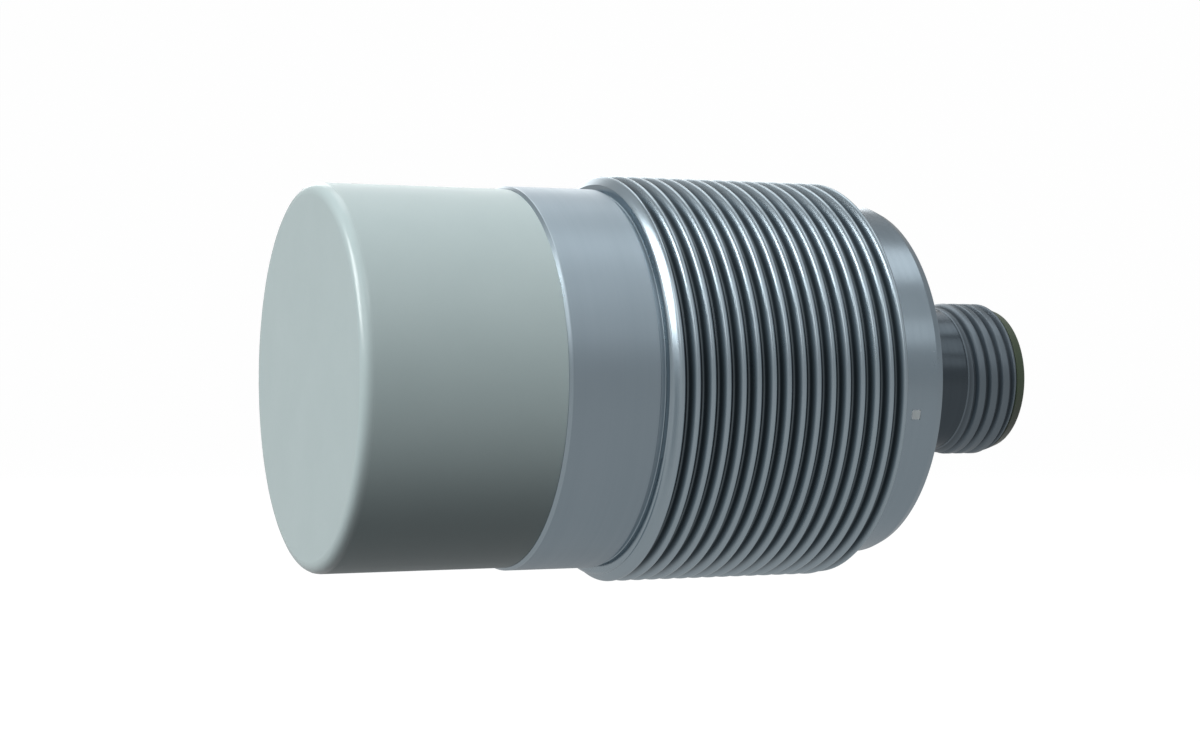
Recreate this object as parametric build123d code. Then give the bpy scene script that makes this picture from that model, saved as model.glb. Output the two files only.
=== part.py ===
from build123d import *
import os

# Inductive proximity sensor, in millimetres. Its axis is X and the sensing face lies at X = 0.

# Body thread: every radius of the body follows from its outer radius
thread_radius = 15.0
thread_depth = 0.65
thread_pitch = 1.17
thread_crest_count = 16
end_crest_flat = 0.18
lead_width = 0.6
lead_step = 0.7
end_width = 0.57
end_step = 1.0

# Plastic cap: the closed front end is the sensing face
cap_length = 14.4
cap_step = 0.2
cap_rim_round = 0.8
face_wall = 1.2
cap_wall = 1.4
skirt_length = 6.0

# Metal sleeve: smooth collar and relief groove in front of the thread, two bores inside
collar_step = 1.05
collar_length = 6.75
collar_wall = 0.9
collar_edge = 0.18
relief_width = 0.45
relief_depth = 0.25
bore_step = 0.7
rear_seat_length = 4.7

# Rear cover: marking band, end wall and the spigot that is pressed into the sleeve
band_step = 0.55
band_length = 3.45
band_front_edge = 0.15
band_rear_width = 0.59
band_rear_drop = 0.25
cover_wall = 1.6
spigot_length = 4.5
spigot_wall = 1.3

# Light windows in the marking band
window_count = 4
window_size = 0.7
window_offset = 1.2
window_angle = 101.0
window_inset = 0.05
window_foot_size = 1.3
window_foot_depth = 1.2

# Plug connector: flange inside the cover, bare neck, short thread, plastic mouth
plug_thread_radius = 6.0
plug_thread_depth = 0.45
plug_thread_pitch = 1.07
plug_crest_count = 4
flange_step = 1.5
flange_thickness = 2.0
neck_step = 0.5
neck_length = 7.0
plug_crest_flat = 0.6
plug_lead_width = 0.2
plug_end_width = 0.25
shell_wall = 1.1
cup_step = 0.45
cup_depth = 6.3
cup_wall = 0.5
cup_floor = 0.7
lip_length = 0.94
lip_step = 0.25
lip_taper = 0.33
mouth_edge = 0.2
key_width = 1.0
key_height = 0.5
key_angle = 0.0

# Contact pins and the leads that join them to the board
pin_count = 4
pin_radius = 0.5
pin_circle_radius = 2.5
pin_tip_inset = 0.9
pin_tip_round = 0.35
pin_tail = 0.3
carrier_tail = 0.4
lead_wire_radius = 0.25
lead_reach = 2.7
lead_bend = 0.6

# Coil and ferrite core behind the sensing face
core_length = 8.0
core_wall = 1.5
core_back = 2.4
core_gap = 0.2
core_well_width = 5.7
post_bore_radius = 0.8
bobbin_hub = 0.6
bobbin_flange = 0.5
bobbin_gap = 0.1
winding_inset = 0.5
coil_wire_radius = 0.15
coil_wire_hole = 0.3
coil_wire_inset = 1.1
coil_wire_reach = 3.3

# Core holder that carries the front end of the circuit board
holder_thickness = 1.5
prong_length = 5.5
prong_width = 8.0
prong_height = 1.8

# Circuit board and its components
board_thickness = 1.0
board_side_gap = 0.7
led_board_thickness = 0.8
led_board_width = 4.6
led_length = 1.6
led_width = 1.0
led_height = 0.9
led_gap = 0.6

chip_length = 9.9
chip_width = 3.9
chip_height = 1.5
chip_legs = 8
chip_leg_pitch = 1.27
chip_leg_width = 0.42
chip_leg_reach = 1.05
chip_leg_thickness = 0.25
chip_shift = 0.2

transistor_length = 6.5
transistor_width = 3.5
transistor_height = 1.6
transistor_tab_width = 3.0
transistor_tab_reach = 1.7
transistor_tab_thickness = 0.3
transistor_setback = 5.25
transistor_edge = 5.3

diode_length = 4.3
diode_width = 3.6
diode_height = 2.2
diode_setback = 5.25
diode_edge = 5.3

capacitor_length = 3.2
capacitor_width = 1.6
capacitor_height = 1.5
capacitor_count = 3
capacitor_offset = 5.2
capacitor_gap = 0.85
capacitor_edge = 3.5

resistor_length = 2.0
resistor_width = 1.25
resistor_height = 0.5
resistor_count = 6
resistor_offset = 7.2
resistor_pitch = 2.9
resistor_edge = 1.9

# Seals
seal_width = 1.1
seal_depth = 0.7
seal_edge = 0.2
neck_seal_width = 1.1
neck_seal_depth = 0.8

# Clearances
fit_gap = 0.05
seal_gap = 0.03
pin_gap = 0.02
slot_gap = 0.1
wire_gap = 0.02

# Places along the axis
sleeve_front = cap_length
collar_end = sleeve_front + collar_length
lead_start = collar_end + relief_width
first_crest = lead_start + lead_width + end_crest_flat / 2
last_crest = first_crest + (thread_crest_count - 1) * thread_pitch
sleeve_end = last_crest + end_crest_flat / 2 + end_width
band_end = sleeve_end + band_length
cover_inner = band_end - cover_wall
spigot_front = sleeve_end - spigot_length
flange_back = cover_inner - flange_thickness
neck_end = band_end + neck_length
plug_first_crest = neck_end + plug_lead_width + plug_crest_flat / 2
plug_last_crest = plug_first_crest + (plug_crest_count - 1) * plug_thread_pitch
shell_end = plug_last_crest + plug_crest_flat / 2 + plug_end_width
cup_start = shell_end - cup_depth
cavity_floor = cup_start + cup_floor
mouth = shell_end + lip_length
carrier_back = flange_back - carrier_tail
pin_back = carrier_back - pin_tail
pin_tip = mouth - pin_tip_inset
core_end = face_wall + core_length
core_well_end = core_end - core_back
holder_end = core_end + holder_thickness
board_front = holder_end + slot_gap
window_station = sleeve_end + window_offset
led_board_front = window_station - window_foot_size / 2 - led_gap - led_height
led_board_back = led_board_front - led_board_thickness
chip_station = (board_front + led_board_back) / 2 + chip_shift
transistor_station = led_board_back - transistor_setback
diode_station = led_board_back - diode_setback
capacitor_first = board_front + capacitor_offset
capacitor_last = transistor_station - (transistor_length + capacitor_length) / 2 - capacitor_gap
capacitor_pitch = (capacitor_last - capacitor_first) / (capacitor_count - 1)
resistor_first = board_front + resistor_offset

# Radii that follow from the thread, the walls and the clearances
collar_radius = thread_radius - collar_step
cap_radius = collar_radius - cap_step
band_radius = collar_radius - band_step
lead_radius = thread_radius - lead_step
end_radius = thread_radius - end_step
collar_bore = collar_radius - collar_wall
middle_bore = collar_bore - bore_step
skirt_radius = collar_bore - fit_gap
pocket_radius = skirt_radius - cap_wall
core_radius = pocket_radius - core_gap
core_well_radius = core_radius - core_wall
post_radius = core_well_radius - core_well_width
spigot_radius = collar_bore - fit_gap
spigot_bore = spigot_radius - spigot_wall
led_board_radius = spigot_bore - slot_gap
flange_radius = plug_thread_radius + flange_step
neck_radius = plug_thread_radius - neck_step
lip_radius = plug_thread_radius - lip_step
lip_mouth_radius = lip_radius - lip_taper
neck_hole = neck_radius + fit_gap
shell_bore = neck_radius - shell_wall
cup_bore = shell_bore + cup_step
carrier_radius = shell_bore - fit_gap
cup_radius = cup_bore - fit_gap
cavity_radius = cup_radius - cup_wall
board_half_width = pocket_radius - board_side_gap
board_top = board_thickness / 2
transistor_side = board_half_width - transistor_edge
diode_side = diode_edge - board_half_width
capacitor_side = board_half_width - capacitor_edge
resistor_side = resistor_edge - board_half_width
coil_wire_side = core_well_radius - coil_wire_inset
coil_wire_height = board_top + coil_wire_radius + wire_gap


# A turned body from points (distance along the axis, radius)
def turned(points):
    return revolve(make_face(Polyline(*points, close=True)), Axis.X)


# A round bar along the axis, centred at (side, height)
def bar(start, end, radius, side=0.0, height=0.0):
    rod = Cylinder(radius, end - start, align=(Align.CENTER, Align.CENTER, Align.MIN))
    return Pos(start, side, height) * Rot(0, 90, 0) * rod


def ring(start, end, inner, outer):
    return bar(start, end, outer) - bar(start, end, inner)


# A block from its lowest to its highest value on each axis
def block(x_span, y_span, z_span):
    spans = (x_span, y_span, z_span)
    size = [high - low for low, high in spans]
    middle = [(low + high) / 2 for low, high in spans]
    return Pos(*middle) * Box(*size)


# A ring of soft rubber with its edges broken
def seal_ring(start, width, inner, outer):
    seal = ring(start, start + width, inner, outer)
    return chamfer(seal.edges().filter_by(GeomType.CIRCLE), seal_edge)


# Outline points of the ridges of a thread, sharp or with a flat top
def ridge_points(first, pitch, count, flat, end_flat, crest, root):
    points = []
    for turn in range(count):
        centre = first + turn * pitch
        width = end_flat if turn in (0, count - 1) else flat
        points.append((centre - width / 2, crest))
        if width > 0:
            points.append((centre + width / 2, crest))
        if turn < count - 1:
            points.append((centre + pitch / 2, root))
    return points


def sensing_cap():
    skirt_end = cap_length + skirt_length
    groove = cap_length + (skirt_length - seal_width) / 2
    groove_radius = skirt_radius - seal_depth
    cap = turned([
        (0, 0), (0, cap_radius), (cap_length, cap_radius), (cap_length, skirt_radius),
        (groove, skirt_radius), (groove, groove_radius),
        (groove + seal_width, groove_radius), (groove + seal_width, skirt_radius),
        (skirt_end, skirt_radius), (skirt_end, pocket_radius),
        (face_wall, pocket_radius), (face_wall, 0),
    ])
    front_rim = cap.edges().filter_by(GeomType.CIRCLE).group_by(Axis.X)[0]
    return fillet(front_rim, cap_rim_round)


def cap_seal():
    start = cap_length + (skirt_length - seal_width) / 2 + seal_gap
    inner = skirt_radius - seal_depth + seal_gap
    return seal_ring(start, seal_width - 2 * seal_gap, inner, collar_bore - seal_gap)


def housing_sleeve():
    skirt_seat = cap_length + skirt_length + slot_gap
    rear_seat = sleeve_end - rear_seat_length
    relief_radius = collar_radius - relief_depth
    thread_root = thread_radius - thread_depth
    ridges = ridge_points(
        first_crest, thread_pitch, thread_crest_count, 0, end_crest_flat, thread_radius, thread_root
    )
    front = [
        (sleeve_front, collar_bore), (sleeve_front, collar_radius - collar_edge),
        (sleeve_front + collar_edge, collar_radius), (collar_end, collar_radius),
        (collar_end, relief_radius), (lead_start, relief_radius), (lead_start, lead_radius),
    ]
    rear = [
        (sleeve_end, end_radius), (sleeve_end, collar_bore), (rear_seat, collar_bore),
        (rear_seat, middle_bore), (skirt_seat, middle_bore), (skirt_seat, collar_bore),
    ]
    return turned(front + ridges + rear)


# The piece at one of the light windows, turned to the place of that window
def at_window(index, shape):
    return Rot(window_angle + index * 360 / window_count, 0, 0) * shape


def window_span(size):
    return (window_station - size / 2, window_station + size / 2)


def rear_cover():
    groove = spigot_front + (spigot_length - seal_width) / 2
    groove_radius = spigot_radius - seal_depth
    seal_seat = cover_inner + neck_seal_depth
    seal_bore = neck_hole + neck_seal_width
    cover = turned([
        (spigot_front, spigot_bore), (spigot_front, spigot_radius), (groove, spigot_radius),
        (groove, groove_radius), (groove + seal_width, groove_radius),
        (groove + seal_width, spigot_radius), (sleeve_end, spigot_radius),
        (sleeve_end, band_radius - band_front_edge), (sleeve_end + band_front_edge, band_radius),
        (band_end - band_rear_width, band_radius), (band_end, band_radius - band_rear_drop),
        (band_end, neck_hole), (seal_seat, neck_hole), (seal_seat, seal_bore),
        (cover_inner, seal_bore), (cover_inner, spigot_bore),
    ])
    half = window_size / 2
    for index in range(window_count):
        hole = block(window_span(window_size), (-half, half), (spigot_bore / 2, 2 * band_radius))
        cover -= at_window(index, hole)
    return cover


def cover_seal():
    start = spigot_front + (spigot_length - seal_width) / 2 + seal_gap
    inner = spigot_radius - seal_depth + seal_gap
    return seal_ring(start, seal_width - 2 * seal_gap, inner, collar_bore - seal_gap)


# A clear plug that fills one hole of the band and spreads to a foot on the inside
def light_window(index):
    half = window_size / 2 - pin_gap
    foot = window_foot_size / 2
    foot_top = (spigot_bore ** 2 - foot ** 2) ** 0.5 - pin_gap
    top = band_radius - window_inset
    stud = block(window_span(window_size - 2 * pin_gap), (-half, half), (foot_top - foot, top))
    base = block(window_span(window_foot_size), (-foot, foot), (foot_top - window_foot_depth, foot_top))
    return at_window(index, stud + base)


def status_led(index):
    foot = window_foot_size / 2
    outer = (spigot_bore ** 2 - foot ** 2) ** 0.5 - pin_gap
    x_span = (led_board_front, led_board_front + led_height)
    body = block(x_span, (-led_length / 2, led_length / 2), (outer - led_width, outer))
    return at_window(index, body)


def led_board():
    inner = led_board_radius - led_board_width
    return ring(led_board_back, led_board_front, inner, led_board_radius)


def connector_shell():
    root = plug_thread_radius - plug_thread_depth
    ridges = ridge_points(
        plug_first_crest, plug_thread_pitch, plug_crest_count,
        plug_crest_flat, plug_crest_flat, plug_thread_radius, root,
    )
    back = [
        (flange_back, shell_bore), (flange_back, flange_radius), (cover_inner, flange_radius),
        (cover_inner, neck_radius), (neck_end, neck_radius),
    ]
    front = [
        (shell_end, root), (shell_end, cup_bore), (cup_start, cup_bore), (cup_start, shell_bore),
    ]
    return turned(back + ridges + front)


def connector_seal():
    inner = neck_radius + seal_gap
    outer = neck_hole + neck_seal_width - seal_gap
    return seal_ring(cover_inner + seal_gap, neck_seal_depth - 2 * seal_gap, inner, outer)


# Side and height of the contact pins, evenly spaced on their circle
def pin_places():
    first = Vector(0, pin_circle_radius, 0)
    turns = [360 / pin_count * (index + 0.5) for index in range(pin_count)]
    places = [first.rotate(Axis.X, turn) for turn in turns]
    return [(place.Y, place.Z) for place in places]


def contact_carrier():
    carrier = turned([
        (carrier_back, 0), (carrier_back, carrier_radius), (cup_start, carrier_radius),
        (cup_start, cup_radius), (shell_end, cup_radius), (shell_end, lip_radius),
        (mouth, lip_mouth_radius), (mouth, cavity_radius + mouth_edge),
        (mouth - mouth_edge, cavity_radius), (cavity_floor, cavity_radius), (cavity_floor, 0),
    ])
    key_base = cavity_radius + cup_wall / 2
    key_top = cavity_radius - key_height
    key = block((cavity_floor, shell_end), (-key_width / 2, key_width / 2), (key_top, key_base))
    carrier += Rot(key_angle, 0, 0) * key
    for side, height in pin_places():
        carrier -= bar(carrier_back, cavity_floor, pin_radius + pin_gap, side, height)
    return carrier


def contact_pin(side, height):
    pin = bar(pin_back, pin_tip, pin_radius, side, height)
    tip = pin.edges().filter_by(GeomType.CIRCLE).sort_by(Axis.X)[-1]
    return fillet(tip, pin_tip_round)


# A bent wire from the back of a pin to the face of the board
def connector_lead(side, height):
    turn_x = pin_back - lead_reach
    face = board_top if height > 0 else -board_top
    corners = [(pin_back, side, height), (turn_x, side, height), (turn_x, side, face)]
    path = FilletPolyline(*corners, radius=lead_bend)
    section = Plane(origin=path @ 0, z_dir=path % 0) * Circle(lead_wire_radius)
    return sweep(section, path=path)


# Holes for the two coil wires, cut along the axis
def cut_wire_holes(shape, start, end):
    for side in (-coil_wire_side, coil_wire_side):
        shape -= bar(start, end, coil_wire_hole, side, coil_wire_height)
    return shape


def ferrite_core():
    core = turned([
        (face_wall, post_bore_radius), (face_wall, post_radius), (core_well_end, post_radius),
        (core_well_end, core_well_radius), (face_wall, core_well_radius), (face_wall, core_radius),
        (core_end, core_radius), (core_end, post_bore_radius),
    ])
    return cut_wire_holes(core, core_well_end, core_end)


def coil_bobbin():
    start = face_wall + bobbin_gap
    end = core_well_end - bobbin_gap
    inner = post_radius + fit_gap
    hub = inner + bobbin_hub
    outer = core_well_radius - slot_gap
    bobbin = turned([
        (start, inner), (start, outer), (start + bobbin_flange, outer), (start + bobbin_flange, hub),
        (end - bobbin_flange, hub), (end - bobbin_flange, outer), (end, outer), (end, inner),
    ])
    return cut_wire_holes(bobbin, end - bobbin_flange, end)


def coil_winding():
    start = face_wall + bobbin_gap + bobbin_flange
    end = core_well_end - bobbin_gap - bobbin_flange
    inner = post_radius + fit_gap + bobbin_hub + wire_gap
    outer = core_well_radius - slot_gap - winding_inset
    return ring(start, end, inner, outer)


def coil_lead(side):
    start = core_well_end - bobbin_gap - bobbin_flange
    return bar(start, board_front + coil_wire_reach, coil_wire_radius, side, coil_wire_height)


def core_holder():
    holder = bar(core_end, holder_end, core_radius)
    slot_half = board_top + slot_gap
    half_width = prong_width / 2
    x_span = (holder_end, holder_end + prong_length)
    for low, high in ((slot_half, slot_half + prong_height), (-slot_half - prong_height, -slot_half)):
        holder += block(x_span, (-half_width, half_width), (low, high))
    return cut_wire_holes(holder, core_end, holder_end)


def circuit_board():
    x_span = (board_front, led_board_back)
    return block(x_span, (-board_half_width, board_half_width), (-board_top, board_top))


# A small box-shaped component on the upper face of the board
def component(station, side, length, width, height):
    x_span = (station - length / 2, station + length / 2)
    y_span = (side - width / 2, side + width / 2)
    return block(x_span, y_span, (board_top, board_top + height))


def sensor_chip():
    chip = component(chip_station, 0, chip_length, chip_width, chip_height)
    reach = chip_width / 2 + chip_leg_reach
    first = chip_station - (chip_legs - 1) * chip_leg_pitch / 2
    for index in range(chip_legs):
        station = first + index * chip_leg_pitch
        chip += component(station, 0, chip_leg_width, 2 * reach, chip_leg_thickness)
    return chip


def output_transistor():
    body = component(
        transistor_station, transistor_side, transistor_length, transistor_width, transistor_height
    )
    reach = transistor_width + 2 * transistor_tab_reach
    tab = component(
        transistor_station, transistor_side, transistor_tab_width, reach, transistor_tab_thickness
    )
    return body + tab


def protection_diode():
    return component(diode_station, diode_side, diode_length, diode_width, diode_height)


def main():
    os.makedirs("parts", exist_ok=True)
    pieces = {
        "sensing_cap": sensing_cap(),
        "cap_seal": cap_seal(),
        "housing_sleeve": housing_sleeve(),
        "rear_cover": rear_cover(),
        "cover_seal": cover_seal(),
        "led_board": led_board(),
        "connector_shell": connector_shell(),
        "connector_seal": connector_seal(),
        "contact_carrier": contact_carrier(),
        "ferrite_core": ferrite_core(),
        "coil_bobbin": coil_bobbin(),
        "coil_winding": coil_winding(),
        "coil_lead_1": coil_lead(-coil_wire_side),
        "coil_lead_2": coil_lead(coil_wire_side),
        "core_holder": core_holder(),
        "circuit_board": circuit_board(),
        "sensor_chip": sensor_chip(),
        "output_transistor": output_transistor(),
        "protection_diode": protection_diode(),
    }
    for index in range(window_count):
        pieces[f"light_window_{index + 1}"] = light_window(index)
        pieces[f"status_led_{index + 1}"] = status_led(index)
    for index, (side, height) in enumerate(pin_places()):
        pieces[f"contact_pin_{index + 1}"] = contact_pin(side, height)
        pieces[f"connector_lead_{index + 1}"] = connector_lead(side, height)
    for index in range(capacitor_count):
        station = capacitor_first + index * capacitor_pitch
        pieces[f"capacitor_{index + 1}"] = component(
            station, capacitor_side, capacitor_length, capacitor_width, capacitor_height
        )
    for index in range(resistor_count):
        station = resistor_first + index * resistor_pitch
        pieces[f"resistor_{index + 1}"] = component(
            station, resistor_side, resistor_length, resistor_width, resistor_height
        )
    for name, shape in pieces.items():
        shape.label = name
        export_step(shape, f"parts/{name}.step")


main()
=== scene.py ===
import math
import bmesh
import bpy
from mathutils import Matrix, Vector


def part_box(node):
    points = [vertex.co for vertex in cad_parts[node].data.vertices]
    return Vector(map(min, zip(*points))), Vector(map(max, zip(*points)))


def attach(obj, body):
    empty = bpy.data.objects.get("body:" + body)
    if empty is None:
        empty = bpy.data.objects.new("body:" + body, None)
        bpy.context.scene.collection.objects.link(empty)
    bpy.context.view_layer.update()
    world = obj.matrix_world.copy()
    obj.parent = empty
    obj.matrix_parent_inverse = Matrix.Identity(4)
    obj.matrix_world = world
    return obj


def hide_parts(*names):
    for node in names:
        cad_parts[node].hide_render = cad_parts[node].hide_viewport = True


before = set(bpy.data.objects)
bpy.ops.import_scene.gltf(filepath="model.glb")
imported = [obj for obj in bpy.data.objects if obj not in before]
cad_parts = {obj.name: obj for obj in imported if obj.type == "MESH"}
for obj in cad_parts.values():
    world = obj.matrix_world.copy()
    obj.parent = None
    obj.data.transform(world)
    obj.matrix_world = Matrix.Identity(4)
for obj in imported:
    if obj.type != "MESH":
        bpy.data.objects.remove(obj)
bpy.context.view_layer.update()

# Inductive proximity sensor along +X, its sensing face at X = 0. Sizes of the pieces are millimetres,
# those of the floor, the backdrop and the lamps are metres.
mm = 0.001
fullTurn = 2 * math.pi
mergeDistance = 1e-6
roundSegments = 160
sharpAngle = math.radians(32)
threadCrease = math.radians(75)


def boxOf(node):  # lowest and highest corner of a node, in millimetres
    low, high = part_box(node)
    return low / mm, high / mm


capHigh = boxOf("sensing_cap")[1]
sleeveLow, sleeveHigh = boxOf("housing_sleeve")
coverLow, coverHigh = boxOf("rear_cover")
shellLow, shellHigh = boxOf("connector_shell")
carrierLow, carrierHigh = boxOf("contact_carrier")
pinLow, pinHigh = boxOf("contact_pin_1")


def addToScene(name, data):
    thing = bpy.data.objects.new(name, data)
    bpy.context.scene.collection.objects.link(thing)
    return thing


# Nodes that the finishes and the screw thread are built from

def feed(tree, socket, value):  # links another socket, or sets a plain value
    if isinstance(value, bpy.types.NodeSocket):
        tree.links.new(value, socket)
    else:
        socket.default_value = value


def mathNode(tree, operation, *values):
    node = tree.nodes.new("ShaderNodeMath")
    node.operation = operation
    for slot, value in enumerate(values):
        feed(tree, node.inputs[slot], value)
    return node.outputs[0]


def shareNode(tree, first, share, second):  # this share of the first value, and the rest of the second
    rest = mathNode(tree, "MULTIPLY", second, 1 - share)
    return mathNode(tree, "ADD", mathNode(tree, "MULTIPLY", first, share), rest)


def noiseNode(tree, vector, scale, detail, roughness=0.5):
    node = tree.nodes.new("ShaderNodeTexNoise")
    for label, value in (("Vector", vector), ("Scale", scale), ("Detail", detail), ("Roughness", roughness)):
        feed(tree, node.inputs[label], value)
    return node.outputs["Fac"]


def rangeNode(tree, value, low, high, newLow=0.0, newHigh=1.0, curve="LINEAR"):
    node = tree.nodes.new("ShaderNodeMapRange")
    node.interpolation_type = curve
    labels = ("Value", "From Min", "From Max", "To Min", "To Max")
    for label, number in zip(labels, (value, low, high, newLow, newHigh)):
        feed(tree, node.inputs[label], number)
    return node.outputs["Result"]


def newGroup(name, inputs, outputs):  # each group takes a vector and some numbers, and gives numbers
    group = bpy.data.node_groups.new(name, "ShaderNodeTree")
    group.interface.new_socket("Vector", in_out="INPUT", socket_type="NodeSocketVector")
    for label, value in inputs.items():
        socket = group.interface.new_socket(label, in_out="INPUT", socket_type="NodeSocketFloat")
        socket.default_value = value
    for label in outputs:
        group.interface.new_socket(label, in_out="OUTPUT", socket_type="NodeSocketFloat")
    entry = group.nodes.new("NodeGroupInput").outputs
    leave = group.nodes.new("NodeGroupOutput").inputs
    return group, entry, leave


# Fine rings that a lathe leaves: they vary along X and hardly at all around it
turningLook = {
    "around": 0.012, "coarse": 0.16, "fineShare": 0.65, "detail": 2.0, "roughness": 0.6, "streak": (0.35, 0.65),
}


def makeTurningGroup(look):
    group, entry, leave = newGroup("turningRings", {"Rings": 12000.0}, ("Height", "Streak"))
    stretch = group.nodes.new("ShaderNodeMapping")
    stretch.inputs["Scale"].default_value = (1.0, look["around"], look["around"])
    group.links.new(entry["Vector"], stretch.inputs["Vector"])
    along = stretch.outputs["Vector"]
    fine = noiseNode(group, along, entry["Rings"], look["detail"], look["roughness"])
    coarse = noiseNode(group, along, mathNode(group, "MULTIPLY", entry["Rings"], look["coarse"]), look["detail"])
    group.links.new(shareNode(group, fine, look["fineShare"], coarse), leave["Height"])
    group.links.new(rangeNode(group, coarse, *look["streak"]), leave["Streak"])
    return group


# Soft cloudy variation, as from handling and plating, and sparse flecks in it
cloudLook = {
    "detail": 4.0, "roughness": 0.55, "cloud": (0.3, 0.7),
    "fleckScale": 22.0, "fleckDetail": 2.0, "fleck": (0.66, 0.76),
}


def makeCloudGroup(look):
    group, entry, leave = newGroup("cloudyFilm", {"Size": 300.0}, ("Mask", "Fleck"))
    cloud = noiseNode(group, entry["Vector"], entry["Size"], look["detail"], look["roughness"])
    fleckSize = mathNode(group, "MULTIPLY", entry["Size"], look["fleckScale"])
    fleck = noiseNode(group, entry["Vector"], fleckSize, look["fleckDetail"])
    group.links.new(rangeNode(group, cloud, *look["cloud"]), leave["Mask"])
    group.links.new(rangeNode(group, fleck, *look["fleck"]), leave["Fleck"])
    return group


# Fine spark-eroded grain of a moulding
grainLook = {"detail": 4.0, "roughness": 0.6, "grainShare": 0.7, "poreScale": 0.45, "poreWidth": 0.6}


def makeGrainGroup(look):
    group, entry, leave = newGroup("mouldGrain", {"Scale": 9000.0}, ("Height", "Pore"))
    grain = noiseNode(group, entry["Vector"], entry["Scale"], look["detail"], look["roughness"])
    pore = group.nodes.new("ShaderNodeTexVoronoi")
    group.links.new(entry["Vector"], pore.inputs["Vector"])
    group.links.new(mathNode(group, "MULTIPLY", entry["Scale"], look["poreScale"]), pore.inputs["Scale"])
    dip = rangeNode(group, pore.outputs["Distance"], 0.0, look["poreWidth"])
    group.links.new(shareNode(group, grain, look["grainShare"], dip), leave["Height"])
    group.links.new(dip, leave["Pore"])
    return group


# Worn light edges, from how convex the mesh is, broken up by a noise
edgeLook = {"low": 0.51, "high": 0.6, "scale": 1500.0, "detail": 3.0, "broken": (0.3, 0.6), "least": 0.45}


def makeEdgeGroup(look):
    group, entry, leave = newGroup("rubbedEdges", {"Low": look["low"], "High": look["high"]}, ("Mask",))
    convex = group.nodes.new("ShaderNodeNewGeometry").outputs["Pointiness"]
    edge = rangeNode(group, convex, entry["Low"], entry["High"])
    noise = noiseNode(group, entry["Vector"], look["scale"], look["detail"])
    broken = rangeNode(group, noise, *look["broken"], look["least"])
    group.links.new(mathNode(group, "MULTIPLY", edge, broken), leave["Mask"])
    return group


# Parts of a turned piece: the grooves of its thread, where painted shade darkens the metal towards the root, and
# where it is cut crisp and shines
def makeZoneGroup():
    starts = {"Lip End": 0.0, "Thread Start": 0.0, "Groove Start": 0.0, "Root": 0.0, "Crest": 1.0}
    group, entry, leave = newGroup("turnedZones", starts, ("Groove", "Crisp"))
    split = group.nodes.new("ShaderNodeSeparateXYZ")
    group.links.new(entry["Vector"], split.inputs["Vector"])
    along = split.outputs["X"]
    squares = [mathNode(group, "POWER", split.outputs[axis], 2.0) for axis in "YZ"]
    radius = mathNode(group, "SQRT", mathNode(group, "ADD", *squares))
    # painted shade: the nearer to the thread's root, the darker
    depth = rangeNode(group, radius, entry["Root"], entry["Crest"], 1.0, 0.0, "SMOOTHSTEP")
    grooved = mathNode(group, "GREATER_THAN", along, entry["Groove Start"])
    thread = mathNode(group, "GREATER_THAN", along, entry["Thread Start"])
    lip = mathNode(group, "LESS_THAN", along, entry["Lip End"])
    group.links.new(mathNode(group, "MULTIPLY", grooved, depth), leave["Groove"])
    group.links.new(mathNode(group, "MAXIMUM", thread, lip), leave["Crisp"])
    return group


turningGroup = makeTurningGroup(turningLook)
cloudGroup = makeCloudGroup(cloudLook)
grainGroup = makeGrainGroup(grainLook)
edgeGroup = makeEdgeGroup(edgeLook)
zoneGroup = makeZoneGroup()


# Materials

def startMaterial(name):
    material = bpy.data.materials.new(name)
    material.use_nodes = True
    tree = material.node_tree
    shader = tree.nodes["Principled BSDF"]
    coordinates = tree.nodes.new("ShaderNodeTexCoord").outputs["Object"]
    return material, tree, shader, coordinates


def placeGroup(tree, group, vector, values=None):
    node = tree.nodes.new("ShaderNodeGroup")
    node.node_tree = group
    tree.links.new(vector, node.inputs["Vector"])
    for label, value in (values or {}).items():
        node.inputs[label].default_value = value
    return node.outputs


def placeZones(tree, vector, zones):
    return placeGroup(tree, zoneGroup, vector, {label: value * mm for label, value in zones.items()})


def mixColour(tree, factor, first, second):
    node = tree.nodes.new("ShaderNodeMix")
    node.data_type = "RGBA"
    tree.links.new(factor, node.inputs["Factor"])
    for label, colour in (("A", first), ("B", second)):
        feed(tree, node.inputs[label], colour if isinstance(colour, bpy.types.NodeSocket) else (*colour, 1.0))
    return node.outputs["Result"]


def crispRoughness(tree, roughness, zones, finish):  # the crisp zones are this much smoother
    smoother = mathNode(tree, "MULTIPLY", zones["Crisp"], finish["crispness"])
    return mathNode(tree, "SUBTRACT", roughness, smoother)


def dressShader(tree, shader, colour, roughness, height, finish):
    tree.links.new(colour, shader.inputs["Base Color"])
    tree.links.new(roughness, shader.inputs["Roughness"])
    bump = tree.nodes.new("ShaderNodeBump")
    bump.inputs["Strength"].default_value = finish["bumpStrength"]
    bump.inputs["Distance"].default_value = finish["bumpDepth"] * mm
    tree.links.new(height, bump.inputs["Height"])
    tree.links.new(bump.outputs["Normal"], shader.inputs["Normal"])


metalLook = {"streak": 0.35, "filmShare": 0.5}


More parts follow.
